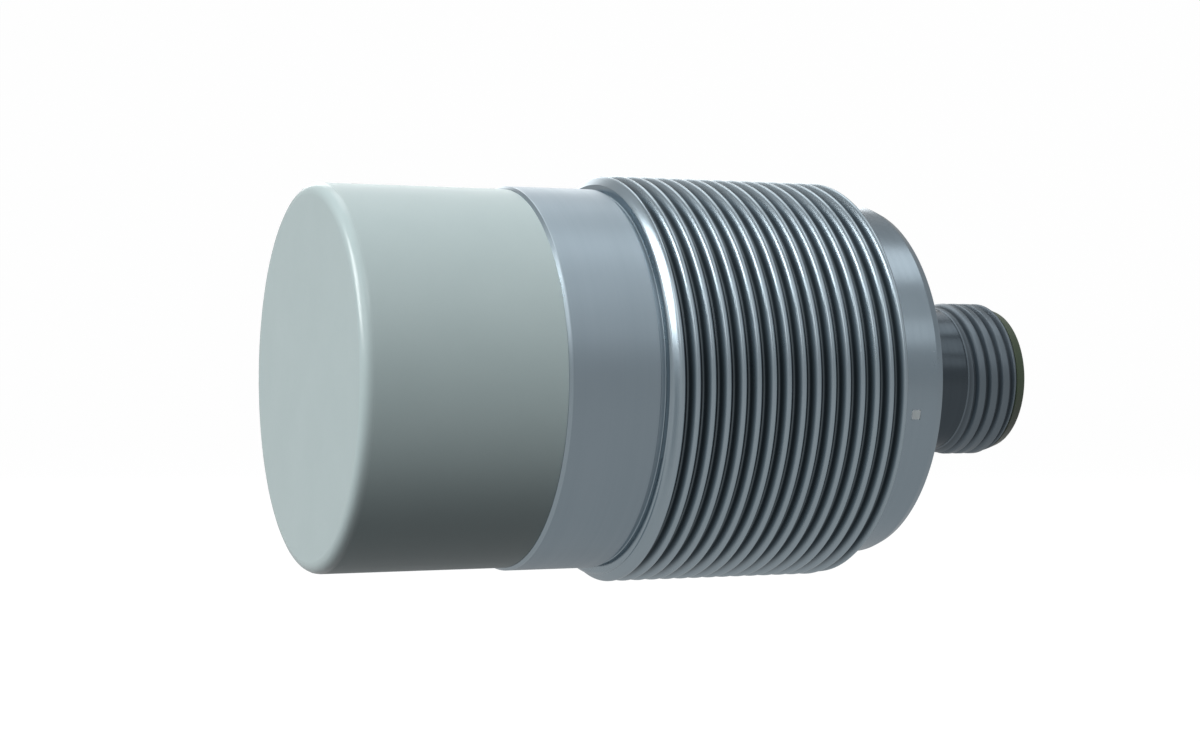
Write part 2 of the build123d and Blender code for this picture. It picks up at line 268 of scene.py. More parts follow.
def turnedMetal(name, finish):
    material, tree, shader, coordinates = startMaterial(name)
    rings = placeGroup(tree, turningGroup, coordinates, {"Rings": finish["rings"]})
    film = placeGroup(tree, cloudGroup, coordinates, {"Size": finish["cloudSize"]})
    edges = placeGroup(tree, edgeGroup, coordinates)
    base = mixColour(tree, film["Mask"], finish["colour"], finish["colourTwo"])
    streak = mathNode(tree, "MULTIPLY", rings["Streak"], metalLook["streak"])
    streaked = mixColour(tree, streak, base, finish["streakColour"])
    rub = mathNode(tree, "MULTIPLY", edges["Mask"], finish["rub"])
    colour = mixColour(tree, rub, streaked, finish["rubColour"])
    spread = shareNode(tree, film["Mask"], metalLook["filmShare"], rings["Streak"])
    roughness = rangeNode(tree, spread, 0.0, 1.0, *finish["roughness"])
    if "zones" in finish:
        zones = placeZones(tree, coordinates, finish["zones"])
        tinted = mixColour(tree, zones["Crisp"], colour, finish["threadTint"])
        # painted shade in the thread grooves, darkest at the root
        shade = mathNode(tree, "MULTIPLY", zones["Groove"], finish["paintedGrooveShade"])
        colour = mixColour(tree, shade, tinted, finish["paintedGrooveShadeColour"])
        roughness = crispRoughness(tree, roughness, zones, finish)
    shader.inputs["Metallic"].default_value = 1.0
    dressShader(tree, shader, colour, roughness, rings["Height"], finish)
    return material


plasticLook = {"filmShare": 0.4}


def mouldedPlastic(name, finish):
    material, tree, shader, coordinates = startMaterial(name)
    grain = placeGroup(tree, grainGroup, coordinates, {"Scale": finish["grain"]})
    film = placeGroup(tree, cloudGroup, coordinates, {"Size": finish["cloudSize"]})
    base = mixColour(tree, film["Mask"], finish["colour"], finish["colourTwo"])
    fleck = mathNode(tree, "MULTIPLY", film["Fleck"], finish["fleck"])
    pitted = mixColour(tree, fleck, base, finish["fleckColour"])
    spread = shareNode(tree, film["Mask"], plasticLook["filmShare"], grain["Pore"])
    roughness = rangeNode(tree, spread, 0.0, 1.0, *finish["roughness"])
    if "zones" in finish:
        zones = placeZones(tree, coordinates, finish["zones"])
        roughness = crispRoughness(tree, roughness, zones, finish)
    shader.inputs["Specular IOR Level"].default_value = finish["specular"]
    dressShader(tree, shader, pitted, roughness, grain["Height"], finish)
    return material


steelColours = {  # the sleeve and the marking band are the same metal
    "colour": (0.325, 0.395, 0.445), "colourTwo": (0.335, 0.405, 0.455), "streakColour": (0.31, 0.38, 0.43),
    "rub": 0.08, "rubColour": (0.42, 0.48, 0.52),
}
turnedBump = {"bumpStrength": 0.08, "bumpDepth": 0.002}
metalFinishes = {
    "sleeveMetal": {
        **steelColours, **turnedBump, "rings": 14000.0, "cloudSize": 260.0, "roughness": (0.38, 0.44),
        "zones": {"Lip End": 14.65, "Thread Start": 21.5, "Groove Start": 22.4, "Root": 14.45, "Crest": 14.94},
        "crispness": 0.12, "threadTint": (0.4, 0.48, 0.53),
        # painted shade for the thread grooves: its share and its colour
        "paintedGrooveShade": 0.82, "paintedGrooveShadeColour": (0.05, 0.06, 0.068),
    },
    "bandMetal": {
        **steelColours, **turnedBump, "rings": 16000.0, "cloudSize": 300.0, "roughness": (0.22, 0.28),
    },
    "plugMetal": {
        **turnedBump, "rings": 18000.0, "cloudSize": 400.0, "roughness": (0.2, 0.26),
        "colour": (0.075, 0.093, 0.108), "colourTwo": (0.08, 0.098, 0.113), "streakColour": (0.068, 0.085, 0.1),
        "rub": 0.3, "rubColour": (0.25, 0.28, 0.3),
        "zones": {"Lip End": 0.0, "Thread Start": 50.9, "Groove Start": 51.0, "Root": 5.55, "Crest": 5.9},
        "crispness": -0.2, "threadTint": (0.18, 0.217, 0.247),  # this thread is duller than the neck
        # painted shade for the thread grooves: its share and its colour
        "paintedGrooveShade": 0.5, "paintedGrooveShadeColour": (0.03, 0.036, 0.042),
    },
    "pinMetal": {
        **turnedBump, "rings": 20000.0, "cloudSize": 900.0, "roughness": (0.18, 0.26),
        "colour": (0.72, 0.5, 0.19), "colourTwo": (0.78, 0.56, 0.24), "streakColour": (0.66, 0.44, 0.15),
        "rub": 0.2, "rubColour": (0.85, 0.68, 0.38),
    },
}
pastTheEnd = 1000.0
plasticFinishes = {
    "capPlastic": {
        "colour": (0.49, 0.6, 0.605), "colourTwo": (0.505, 0.615, 0.62), "fleck": 0.2,
        "fleckColour": (0.43, 0.53, 0.535), "grain": 7000.0, "cloudSize": 220.0, "roughness": (0.4, 0.44),
        "zones": {"Lip End": 0.78, "Thread Start": pastTheEnd, "Groove Start": pastTheEnd}, "crispness": 0.2,
        "specular": 0.5, "bumpStrength": 0.08, "bumpDepth": 0.003,
    },
    "carrierPlastic": {
        "colour": (0.05, 0.075, 0.04), "colourTwo": (0.06, 0.09, 0.05), "fleck": 0.2,
        "fleckColour": (0.035, 0.055, 0.03), "grain": 9000.0, "cloudSize": 500.0, "roughness": (0.28, 0.4),
        "specular": 0.5, "bumpStrength": 0.15, "bumpDepth": 0.004,
    },
    "windowPlastic": {
        "colour": (0.82, 0.9, 0.92), "colourTwo": (0.79, 0.87, 0.89), "fleck": 0.0,
        "fleckColour": (0.7, 0.78, 0.8), "grain": 5000.0, "cloudSize": 900.0, "roughness": (0.22, 0.26),
        "specular": 0.5, "bumpStrength": 0.02, "bumpDepth": 0.001,
    },
}
materials = {name: turnedMetal(name, finish) for name, finish in metalFinishes.items()}
materials.update({name: mouldedPlastic(name, finish) for name, finish in plasticFinishes.items()})
print("materials made")


# Turned shapes. A rounding takes less than half of each side, and has a support point at either end.
roundingRule = {"steps": 5, "longestReach": 0.49, "support": 0.05, "supportShare": 0.2}


def roundedOutline(corners):  # corners are (x, radius, rounding); a rounding of 0 stays sharp
    points = []
    steps = roundingRule["steps"]
    for index, (x, r, rounding) in enumerate(corners):
        if rounding <= 0 or index in (0, len(corners) - 1):
            points.append((x, r))
            continue
        corner = Vector((x, r))
        before = Vector(corners[index - 1][:2]) - corner
        after = Vector(corners[index + 1][:2]) - corner
        half = before.angle(after) / 2
        longest = min(before.length, after.length) * roundingRule["longestReach"]
        reach = min(rounding / math.tan(half), longest)
        radius = reach * math.tan(half)
        back, ahead = before.normalized(), after.normalized()
        centre = corner + (back + ahead).normalized() * (radius / math.sin(half))
        first = corner + back * reach - centre
        last = corner + ahead * reach - centre
        sweep = first.angle_signed(last)
        support = reach + min(roundingRule["support"], roundingRule["supportShare"] * radius)
        if before.length > 2 * support:
            points.append(tuple(corner + back * support))
        for step in range(steps + 1):
            turn = Matrix.Rotation(-sweep * step / steps, 2)
            points.append(tuple(centre + turn @ first))
        if after.length > 2 * support:
            points.append(tuple(corner + ahead * support))
    return points


def ringAngles(segments, extra=()):  # even angles, of which the nearest ones move to the extra angles
    angles = [fullTurn * index / segments for index in range(segments)]
    for angle in extra:
        wrapped = angle % fullTurn
        nearest = min(range(len(angles)), key=lambda index: abs(angles[index] - wrapped))
        angles[nearest] = wrapped
    return sorted(angles)


def sweepOutline(work, outline, angles, closed=False):  # outline in millimetres, returns the rows of vertices
    rows = []
    for x, r in outline:
        rows.append([work.verts.new((x * mm, r * math.cos(a) * mm, r * math.sin(a) * mm)) for a in angles])
    pairs = list(zip(rows, rows[1:]))
    if closed:
        pairs.append((rows[-1], rows[0]))
    count = len(angles)
    for lower, upper in pairs:
        for column in range(count):
            after = (column + 1) % count
            work.faces.new((lower[column], lower[after], upper[after], upper[column]))
    return rows


def finishMesh(work, name, finish, creaseAngle=sharpAngle):
    bmesh.ops.remove_doubles(work, verts=work.verts, dist=mergeDistance)
    bmesh.ops.dissolve_degenerate(work, edges=work.edges, dist=mergeDistance)
    bmesh.ops.recalc_face_normals(work, faces=work.faces)
    mesh = bpy.data.meshes.new(name)
    work.to_mesh(mesh)
    work.free()
    mesh.shade_smooth()
    mesh.set_sharp_from_angle(angle=creaseAngle)
    mesh.materials.append(materials[finish])
    return addToScene(name, mesh)


def settle(piece, slotName, *nodes):
    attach(piece, "root")
    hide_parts(*nodes)


# Screw threads by Geometry Nodes: a grid whose rows follow the helix, bent into a tube

def makeThreadTree():
    tree = bpy.data.node_groups.new("screwThread", "GeometryNodeTree")
    tree.is_modifier = True
    inputs = {
        "NodeSocketGeometry": ("Geometry",),
        "NodeSocketFloat": (
            "Start", "End", "Crest Radius", "Root Radius", "Pitch", "Flank Slope", "Crest Flat", "Edge Round",
            "Root Round", "Front Radius", "Front Slope", "Rear Radius", "Rear Slope", "Phase",
        ),
        "NodeSocketInt": ("Segments", "Rows", "Rows Per Turn"),
        "NodeSocketMaterial": ("Material",),
    }
    for socketType, labels in inputs.items():
        for label in labels:
            tree.interface.new_socket(label, in_out="INPUT", socket_type=socketType)
    tree.interface.new_socket("Geometry", in_out="OUTPUT", socket_type="NodeSocketGeometry")
    entry = tree.nodes.new("NodeGroupInput").outputs
    leave = tree.nodes.new("NodeGroupOutput")

    def calc(operation, *values):
        return mathNode(tree, operation, *values)

    # where a point of the flat grid lies: its turn around the axis, and its place along it
    grid = tree.nodes.new("GeometryNodeMeshGrid")
    for label in ("Size X", "Size Y"):
        grid.inputs[label].default_value = 1.0
    tree.links.new(entry["Rows"], grid.inputs["Vertices X"])
    tree.links.new(calc("ADD", entry["Segments"], 1), grid.inputs["Vertices Y"])
    position = tree.nodes.new("GeometryNodeInputPosition")
    split = tree.nodes.new("ShaderNodeSeparateXYZ")
    tree.links.new(position.outputs["Position"], split.inputs["Vector"])
    turn = calc("ADD", split.outputs["Y"], 0.5)
    angle = calc("MULTIPLY", turn, fullTurn)
    row = calc("MULTIPLY", calc("ADD", split.outputs["X"], 0.5), calc("SUBTRACT", entry["Rows"], 1))
    step = calc("DIVIDE", entry["Pitch"], entry["Rows Per Turn"])
    rowStart = calc("SUBTRACT", entry["Start"], entry["Pitch"])
    rise = calc("MULTIPLY", turn, entry["Pitch"])
    along = calc("ADD", calc("ADD", rowStart, calc("MULTIPLY", row, step)), rise)
    along = calc("MINIMUM", calc("MAXIMUM", along, entry["Start"]), entry["End"])

    # distance from the middle of the groove, measured along the axis
    wholeTurns = 64.0  # keeps the value above 0, where its fraction is taken
    shifted = calc("SUBTRACT", calc("SUBTRACT", along, entry["Phase"]), rise)
    phase = calc("FRACT", calc("ADD", calc("DIVIDE", shifted, entry["Pitch"]), wholeTurns))
    fromGroove = calc("MULTIPLY", calc("ABSOLUTE", calc("SUBTRACT", phase, 0.5)), entry["Pitch"])

    # the radius there: root, flank and crest, turned down at both ends of the thread
    halfOpen = calc("MULTIPLY", calc("SUBTRACT", entry["Pitch"], entry["Crest Flat"]), 0.5)
    below = calc("MULTIPLY", calc("SUBTRACT", halfOpen, fromGroove), entry["Flank Slope"])
    flank = calc("SUBTRACT", entry["Crest Radius"], below)
    rooted = calc("SMOOTH_MAX", flank, entry["Root Radius"], entry["Root Round"])
    crested = calc("SMOOTH_MIN", rooted, entry["Crest Radius"], entry["Edge Round"])
    fromStart = calc("SUBTRACT", along, entry["Start"])
    front = calc("ADD", entry["Front Radius"], calc("MULTIPLY", fromStart, entry["Front Slope"]))
    fromEnd = calc("SUBTRACT", entry["End"], along)
    rear = calc("ADD", entry["Rear Radius"], calc("MULTIPLY", fromEnd, entry["Rear Slope"]))
    leading = calc("SMOOTH_MIN", crested, front, entry["Edge Round"])
    radius = calc("SMOOTH_MIN", leading, rear, entry["Edge Round"])

    join = tree.nodes.new("ShaderNodeCombineXYZ")
    tree.links.new(along, join.inputs["X"])
    tree.links.new(calc("MULTIPLY", radius, calc("COSINE", angle)), join.inputs["Y"])
    tree.links.new(calc("MULTIPLY", radius, calc("SINE", angle)), join.inputs["Z"])
    bend = tree.nodes.new("GeometryNodeSetPosition")
    tree.links.new(join.outputs["Vector"], bend.inputs["Position"])
    weld = tree.nodes.new("GeometryNodeMergeByDistance")
    weld.inputs["Distance"].default_value = mergeDistance
    realize = tree.nodes.new("GeometryNodeRealizeInstances")
    paint = tree.nodes.new("GeometryNodeSetMaterial")
    tree.links.new(entry["Material"], paint.inputs["Material"])
    flow = grid.outputs["Mesh"]
    for node in (bend, weld, realize, paint):
        tree.links.new(flow, node.inputs["Geometry"])
        flow = node.outputs["Geometry"]
    tree.links.new(flow, leave.inputs["Geometry"])
    return tree


threadTree = makeThreadTree()


def threadMesh(size, finish):  # the plain mesh of one thread, sizes in millimetres
    carrier = addToScene("threadCarrier", bpy.data.meshes.new("threadCarrier"))
    modifier = carrier.modifiers.new("thread", "NODES")
    modifier.node_group = threadTree
    rows = math.ceil((size["end"] - size["start"] + size["pitch"]) / size["pitch"] * size["rowsPerTurn"]) + 1
    values = {
        "Start": size["start"] * mm, "End": size["end"] * mm, "Pitch": size["pitch"] * mm,
        "Crest Radius": size["crestRadius"] * mm, "Root Radius": size["rootRadius"] * mm,
        "Flank Slope": size["flankSlope"], "Crest Flat": size["crestFlat"] * mm,
        "Edge Round": size["edgeRound"] * mm, "Root Round": size["rootRound"] * mm,
        "Front Radius": size["frontRadius"] * mm, "Front Slope": size["frontSlope"],
        "Rear Radius": size["rearRadius"] * mm, "Rear Slope": size["rearSlope"],
        "Phase": size["phase"] * mm, "Segments": size["segments"], "Rows": rows,
        "Rows Per Turn": size["rowsPerTurn"], "Material": materials[finish],
    }
    for item in threadTree.interface.items_tree:
        if item.in_out == "INPUT" and item.name in values:
            modifier[item.identifier] = values[item.name]
    carrier.update_tag()
    evaluated = carrier.evaluated_get(bpy.context.evaluated_depsgraph_get())
    mesh = bpy.data.meshes.new_from_object(evaluated)
    carrier.modifiers.remove(modifier)
    bpy.data.objects.remove(carrier)
    return mesh


def threadedPiece(name, corners, size, finish):  # an open turned outline, closed by its thread
    work = bmesh.new()
    work.from_mesh(threadMesh(size, finish))
    sweepOutline(work, roundedOutline(corners), ringAngles(size["segments"]))
    return finishMesh(work, name, finish, threadCrease)


# Sensing cap: the closed cup, with a skirt that sits in the sleeve
capSize = {
    "radius": capHigh.z, "length": 14.4, "rimRound": 0.8, "shoulderRound": 0.03, "faceWall": 1.2,
    "skirtRadius": 13.0, "stepRound": 0.05, "skirtRound": 0.2, "pocketRadius": 11.6, "floorRound": 0.3,
}


def makeCap(size):
    corners = [
        (0, 0, 0), (0, size["radius"], size["rimRound"]), (size["length"], size["radius"], size["shoulderRound"]),
        (size["length"], size["skirtRadius"], size["stepRound"]),
        (capHigh.x, size["skirtRadius"], size["skirtRound"]), (capHigh.x, size["pocketRadius"], size["skirtRound"]),
        (size["faceWall"], size["pocketRadius"], size["floorRound"]), (size["faceWall"], 0, 0),
    ]
    work = bmesh.new()
    sweepOutline(work, roundedOutline(corners), ringAngles(roundSegments))
    cap = finishMesh(work, "capShell", "capPlastic")
    settle(cap, "cap_plastic", "sensing_cap")


makeCap(capSize)
print("sensing cap made")


# Metal sleeve with the collar, the relief groove and the body thread
sleeveSize = {
    "collarRadius": 13.95, "collarEnd": 21.15, "collarEdge": 0.18, "edgeRound": 0.03, "endRound": 0.07,
    "reliefRadius": 13.7, "reliefWidth": 0.45, "reliefRound": 0.08,
    "bore": 13.05, "middleBore": 12.35, "frontSeat": 20.5, "rearSeatLength": 4.7,
}
bodyThread = {
    "start": 21.6, "end": sleeveHigh.x, "pitch": 1.17, "crestRadius": sleeveHigh.z, "rootRadius": 14.32,
    "flankSlope": 1.8, "crestFlat": 0.24, "edgeRound": 0.3, "rootRound": 0.16,
    "frontRadius": 14.3, "frontSlope": 1.2, "rearRadius": 14.0, "rearSlope": 1.75,
    "phase": 21.725, "rowsPerTurn": 20, "segments": 232,
}


def makeSleeve(size, thread):
    front, rear = sleeveLow.x, sleeveHigh.x
    rearSeat = rear - size["rearSeatLength"]
    corners = [
        (thread["start"], thread["frontRadius"], 0),
        (size["collarEnd"] + size["reliefWidth"], size["reliefRadius"], size["reliefRound"]),
        (size["collarEnd"], size["reliefRadius"], size["reliefRound"]),
        (size["collarEnd"], size["collarRadius"], size["endRound"]),
        (front + size["collarEdge"], size["collarRadius"], size["edgeRound"]),
        (front, size["collarRadius"] - size["collarEdge"], size["edgeRound"]), (front, size["bore"], 0),
        (size["frontSeat"], size["bore"], 0), (size["frontSeat"], size["middleBore"], 0),
        (rearSeat, size["middleBore"], 0), (rearSeat, size["bore"], 0),
        (rear, size["bore"], 0), (rear, thread["rearRadius"], 0),
    ]
    sleeve = threadedPiece("sleeveBody", corners, thread, "sleeveMetal")
    settle(sleeve, "housing_metal", "housing_sleeve")


makeSleeve(sleeveSize, bodyThread)
print("sleeve made")


# Rear cover: the marking band with its light windows, and the end wall
coverSize = {
    "bandRadius": coverHigh.z, "bandStart": sleeveHigh.x, "frontEdge": 0.2, "rearWidth": 0.59, "rearDrop": 0.25,
    "slopeRound": 0.3, "rearRound": 0.1, "wall": 1.6, "hole": 5.55, "holeRound": 0.15,
    "spigotRadius": 13.0, "spigotBore": 11.7, "segments": roundSegments * 2,
}
windowSize = {
    "count": 4, "size": 0.7, "station": 41.7, "angle": 101.0, "gap": 0.004, "inset": 0.006,
    "round": 0.06, "roundSteps": 3, "reachInside": 1.2,
}


def windowAngles():  # middle of each window, from the Y axis towards the Z axis
    return [math.radians(windowSize["angle"] + 90 + index * 360 / windowSize["count"]) % fullTurn
            for index in range(windowSize["count"])]


def makeCover(size):
    radiusSlack = 0.001
    half = windowSize["size"] / 2
    low, high = windowSize["station"] - half, windowSize["station"] + half
    halfAngle = half / size["bandRadius"]
    edges = [angle + side * halfAngle for angle in windowAngles() for side in (-1, 1)]
    angles = ringAngles(size["segments"], edges)
    inner = coverHigh.x - size["wall"]
    outer = roundedOutline([
        (size["bandStart"], size["spigotRadius"], 0), (size["bandStart"], size["bandRadius"], size["frontEdge"]),
        (coverHigh.x - size["rearWidth"], size["bandRadius"], size["slopeRound"]),
        (coverHigh.x, size["bandRadius"] - size["rearDrop"], size["rearRound"]),
        (coverHigh.x, size["hole"], size["holeRound"]), (inner, size["hole"], 0), (inner, size["spigotBore"], 0),
    ])
    band = size["bandRadius"] - radiusSlack
    flat = max(index for index, (x, r) in enumerate(outer) if x < low and r > band)
    outline = outer[:flat + 1] + [(low, size["bandRadius"]), (high, size["bandRadius"])] + outer[flat + 1:]
    outline += [(high, size["spigotBore"]), (low, size["spigotBore"])]
    outline += [(coverLow.x, size["spigotBore"]), (coverLow.x, size["spigotRadius"])]
    work = bmesh.new()
    rows = sweepOutline(work, outline, angles, closed=True)
    top = (rows[flat + 1], rows[flat + 2])
    bottom = (rows[len(outer) + 3], rows[len(outer) + 2])
    for middle in windowAngles():
        cutWindow(work, angles, top, bottom, middle, halfAngle)
    cover = finishMesh(work, "coverBody", "bandMetal")
    settle(cover, "cover_metal", "rear_cover")


def cutWindow(work, angles, top, bottom, middle, halfAngle):  # opens the wall and lines the four sides
    angleSlack = 1e-5
    columns = [index for index, angle in enumerate(angles) if abs(angle - middle) <= halfAngle + angleSlack]
    quads = []
    for lower, upper in (top, bottom):
        for column in columns[:-1]:
            quad = {lower[column], lower[column + 1], upper[column], upper[column + 1]}
            quads += [face for face in lower[column].link_faces if set(face.verts) == quad]
    bmesh.ops.delete(work, geom=quads, context="FACES_ONLY")
    for outerRow, innerRow in zip(top, bottom):
        for column in columns[:-1]:
            work.faces.new((outerRow[column], outerRow[column + 1], innerRow[column + 1], innerRow[column]))
    for column in (columns[0], columns[-1]):
        work.faces.new((top[0][column], top[1][column], bottom[1][column], bottom[0][column]))


def blockMesh(length, width, height, centre):  # a plain block in millimetres
    block = bmesh.new()
    bmesh.ops.create_cube(block, size=1.0)
    bmesh.ops.scale(block, vec=(length * mm, width * mm, height * mm), verts=block.verts)
    bmesh.ops.translate(block, vec=[value * mm for value in centre], verts=block.verts)
    return block


def makeWindows(size):
    half = size["size"] / 2 - size["gap"]
    top = coverSize["bandRadius"] - size["inset"]
    base = coverSize["spigotBore"] - size["reachInside"]
    for index, angle in enumerate(windowAngles()):
        work = blockMesh(2 * half, 2 * half, top - base, (size["station"], 0, (top + base) / 2))
        upright = [edge for edge in work.edges if abs(edge.verts[0].co.z - edge.verts[1].co.z) > half * mm]
        bmesh.ops.bevel(work, geom=upright, offset=size["round"] * mm, segments=size["roundSteps"], affect="EDGES")
        turn = Matrix.Rotation(angle - math.pi / 2, 3, "X")
        bmesh.ops.rotate(work, cent=(0, 0, 0), matrix=turn, verts=work.verts)
        window = finishMesh(work, f"lightPlug{index + 1}", "windowPlastic")
        settle(window, "window_plastic", f"light_window_{index + 1}")


makeCover(coverSize)
makeWindows(windowSize)
print("rear cover and windows made")


# Plug connector: flange, neck and thread in dark plated metal
shellSize = {
    "flangeRadius": shellHigh.z, "flangeEnd": 42.35, "flangeRound": 0.2, "neckRadius": 5.5, "bore": 4.4,
    "cupBore": 4.85, "cupStart": 48.91,
}
plugThread = {
    "start": 50.8, "end": shellHigh.x, "pitch": 1.07, "crestRadius": 5.95, "rootRadius": 5.58,
    "flankSlope": 1.5, "crestFlat": 0.55, "edgeRound": 0.16, "rootRound": 0.1,
    "frontRadius": 5.5, "frontSlope": 0.5, "rearRadius": 5.65, "rearSlope": 1.2,
    "phase": 51.465, "rowsPerTurn": 26, "segments": 160,
}


def makeShell(size, thread):
    corners = [
        (thread["start"], thread["frontRadius"], 0), (size["flangeEnd"], size["neckRadius"], 0),
        (size["flangeEnd"], size["flangeRadius"], size["flangeRound"]),
        (shellLow.x, size["flangeRadius"], size["flangeRound"]),
        (shellLow.x, size["bore"], 0), (size["cupStart"], size["bore"], 0),
        (size["cupStart"], size["cupBore"], 0), (thread["end"], size["cupBore"], 0),
        (thread["end"], thread["rearRadius"], 0),
    ]
    shell = threadedPiece("plugBody", corners, thread, "plugMetal")
    settle(shell, "plug_metal", "connector_shell")


makeShell(shellSize, plugThread)


# Contact carrier with its lip and coding key, and the four pins
carrierSize = {
    "stemRadius": 4.35, "stemRound": 0.1, "cupStart": shellSize["cupStart"], "cupRadius": 4.8, "cupRound": 0.1,
    "stepRound": 0.04, "cavityRadius": 4.3, "cavityRound": 0.15, "floor": 49.61,
    "lipStart": shellHigh.x, "lipRadius": carrierHigh.z, "lipEdge": 0.08, "mouthRadius": 5.42, "lipRound": 0.18,
    "keyWidth": 1.0, "keyHeight": 0.5, "keyRound": 0.12, "keySteps": 3, "wall": 0.5,
}
pinSize = {"count": 4, "radius": 0.5, "footRound": 0.05, "tipRound": 0.35, "segments": 32}


def makeCarrier(size):
    corners = [
        (size["floor"], 0, 0), (size["floor"], size["cavityRadius"], size["cavityRound"]),
        (carrierHigh.x, size["cavityRadius"], size["cavityRound"]),
        (carrierHigh.x, size["mouthRadius"], size["lipRound"]),
        (size["lipStart"], size["lipRadius"], size["lipEdge"]),
        (size["lipStart"], size["cupRadius"], size["stepRound"]),
        (size["cupStart"], size["cupRadius"], size["cupRound"]),
        (size["cupStart"], size["stemRadius"], size["stepRound"]),
        (carrierLow.x, size["stemRadius"], size["stemRound"]), (carrierLow.x, 0, 0),
    ]
    work = bmesh.new()
    sweepOutline(work, roundedOutline(corners), ringAngles(roundSegments))
    addKey(work, size)
    carrier = finishMesh(work, "contactInsert", "carrierPlastic")
    settle(carrier, "carrier_plastic", "contact_carrier")


def addKey(work, size):  # the coding rib on the upper side of the socket
    length = size["lipStart"] - size["floor"]
    height = size["keyHeight"] + size["wall"] / 2
    middle = size["cavityRadius"] - size["keyHeight"] + height / 2
    block = blockMesh(length, size["keyWidth"], height, (size["floor"] + length / 2, 0, middle))
    bmesh.ops.bevel(
        block, geom=block.edges[:], offset=size["keyRound"] * mm, segments=size["keySteps"], affect="EDGES"
    )
    rib = bpy.data.meshes.new("codingRib")
    block.to_mesh(rib)
    block.free()
    work.from_mesh(rib)
    bpy.data.meshes.remove(rib)


def makePins(size):
    corners = [
        (pinLow.x, 0, 0), (pinLow.x, size["radius"], size["footRound"]),
        (pinHigh.x, size["radius"], size["tipRound"]), (pinHigh.x, 0, 0),
    ]
    for index in range(size["count"]):
        work = bmesh.new()
        sweepOutline(work, roundedOutline(corners), ringAngles(size["segments"]))
        low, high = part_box(f"contact_pin_{index + 1}")
        place = (low + high) / 2
        bmesh.ops.translate(work, vec=(0, place.y, place.z), verts=work.verts)
        pin = finishMesh(work, f"contactPin{index + 1}", "pinMetal")
        settle(pin, "contact_gold", f"contact_pin_{index + 1}")


makeCarrier(carrierSize)
makePins(pinSize)
print("plug connector made")


# Pieces inside keep their solids. Each finish names the pieces it is for, its colour, roughness and grain.
innerFinishes = {
    "sealRubber": (("cap_seal", "cover_seal", "connector_seal"), (0.02, 0.02, 0.02), 0.6, 12000.0),
    "ferriteGrey": (("ferrite_core",), (0.03, 0.03, 0.033), 0.7, 16000.0),
    "bobbinPlastic": (("coil_bobbin",), (0.6, 0.57, 0.48), 0.5, 9000.0),
    "copperWire": (("coil_winding", "coil_lead_"), (0.55, 0.2, 0.09), 0.3, 15000.0),
    "holderPlastic": (("core_holder",), (0.02, 0.02, 0.022), 0.45, 9000.0),
    "boardGreen": (("circuit_board", "led_board"), (0.01, 0.09, 0.03), 0.35, 6000.0),
    "chipBlack": (
        ("sensor_chip", "output_transistor", "protection_diode", "resistor_"), (0.015, 0.015, 0.017), 0.5, 14000.0,
    ),
    "capacitorTan": (("capacitor_",), (0.3, 0.17, 0.08), 0.4, 14000.0),
    "ledAmber": (("status_led_",), (0.75, 0.6, 0.25), 0.2, 9000.0),
    "leadBrown": (("connector_lead_",), (0.25, 0.08, 0.04), 0.4, 9000.0),
}
innerLook = {"fleck": 0.3, "cloudSize": 500.0, "specular": 0.5, "bumpStrength": 0.2, "bumpDepth": 0.004}
innerSpread = {"darker": 0.8, "smoothest": 0.85, "roughest": 1.1}


def finishInside():
    for label, (prefixes, colour, roughness, grain) in innerFinishes.items():
        darker = tuple(channel * innerSpread["darker"] for channel in colour)
        spread = (roughness * innerSpread["smoothest"], roughness * innerSpread["roughest"])
        finish = {"colour": colour, "colourTwo": darker, "fleckColour": darker, "grain": grain, "roughness": spread}
        material = mouldedPlastic(label, {**innerLook, **finish})
        for node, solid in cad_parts.items():
            if node.startswith(prefixes):
                solid.data.materials.clear()
                solid.data.materials.append(material)


finishInside()
print("inner pieces finished")


# The camera stands level, to the left of the sensor's middle, and looks 23 degrees towards the plug
cameraSize = {
    "yaw": 23.067, "roll": -0.118, "lens": 67.17, "faceRight": -20.695, "faceDown": 0.546, "faceDepth": 157.294,
    "sensorWidth": 36.0, "clipStart": 0.01, "clipEnd": 20.0,
}


def lookDirections():  # level directions, away from the camera and to its right
    yaw = math.radians(cameraSize["yaw"])
    return Vector((math.sin(yaw), math.cos(yaw), 0)), Vector((math.cos(yaw), -math.sin(yaw), 0))


def makeCamera(size):
    roll = math.radians(size["roll"])
    forward, level = lookDirections()
    upright = Vector((0, 0, 1))
    right = level * math.cos(roll) - upright * math.sin(roll)
    up = upright * math.cos(roll) + level * math.sin(roll)
    offset = right * size["faceRight"] - up * size["faceDown"] + forward * size["faceDepth"]
    data = bpy.data.cameras.new("photoCamera")
    data.sensor_fit = "HORIZONTAL"
    data.sensor_width = size["sensorWidth"]
    data.lens = size["lens"]
    data.clip_start = size["clipStart"]
    data.clip_end = size["clipEnd"]
    camera = addToScene("photoCamera", data)
    turn = Matrix((right, up, -forward)).transposed()
    camera.matrix_world = Matrix.Translation(-offset * mm) @ turn.to_4x4()
    bpy.context.scene.camera = camera


# Floor all round, and a wall of the same paper that bends up from it behind the sensor
stageSize = {
    "floorHeight": -0.048, "floorHalf": 3.0, "wallDistance": 1.6, "wallHalf": 4.0, "wallTop": 2.4, "bend": 0.5,
    "bendSteps": 16, "lift": 0.0005,
}
paperLook = {"colour": (0.07, 0.072, 0.075), "roughness": 0.9, "glow": 0.988, "mirrored": 0.42}


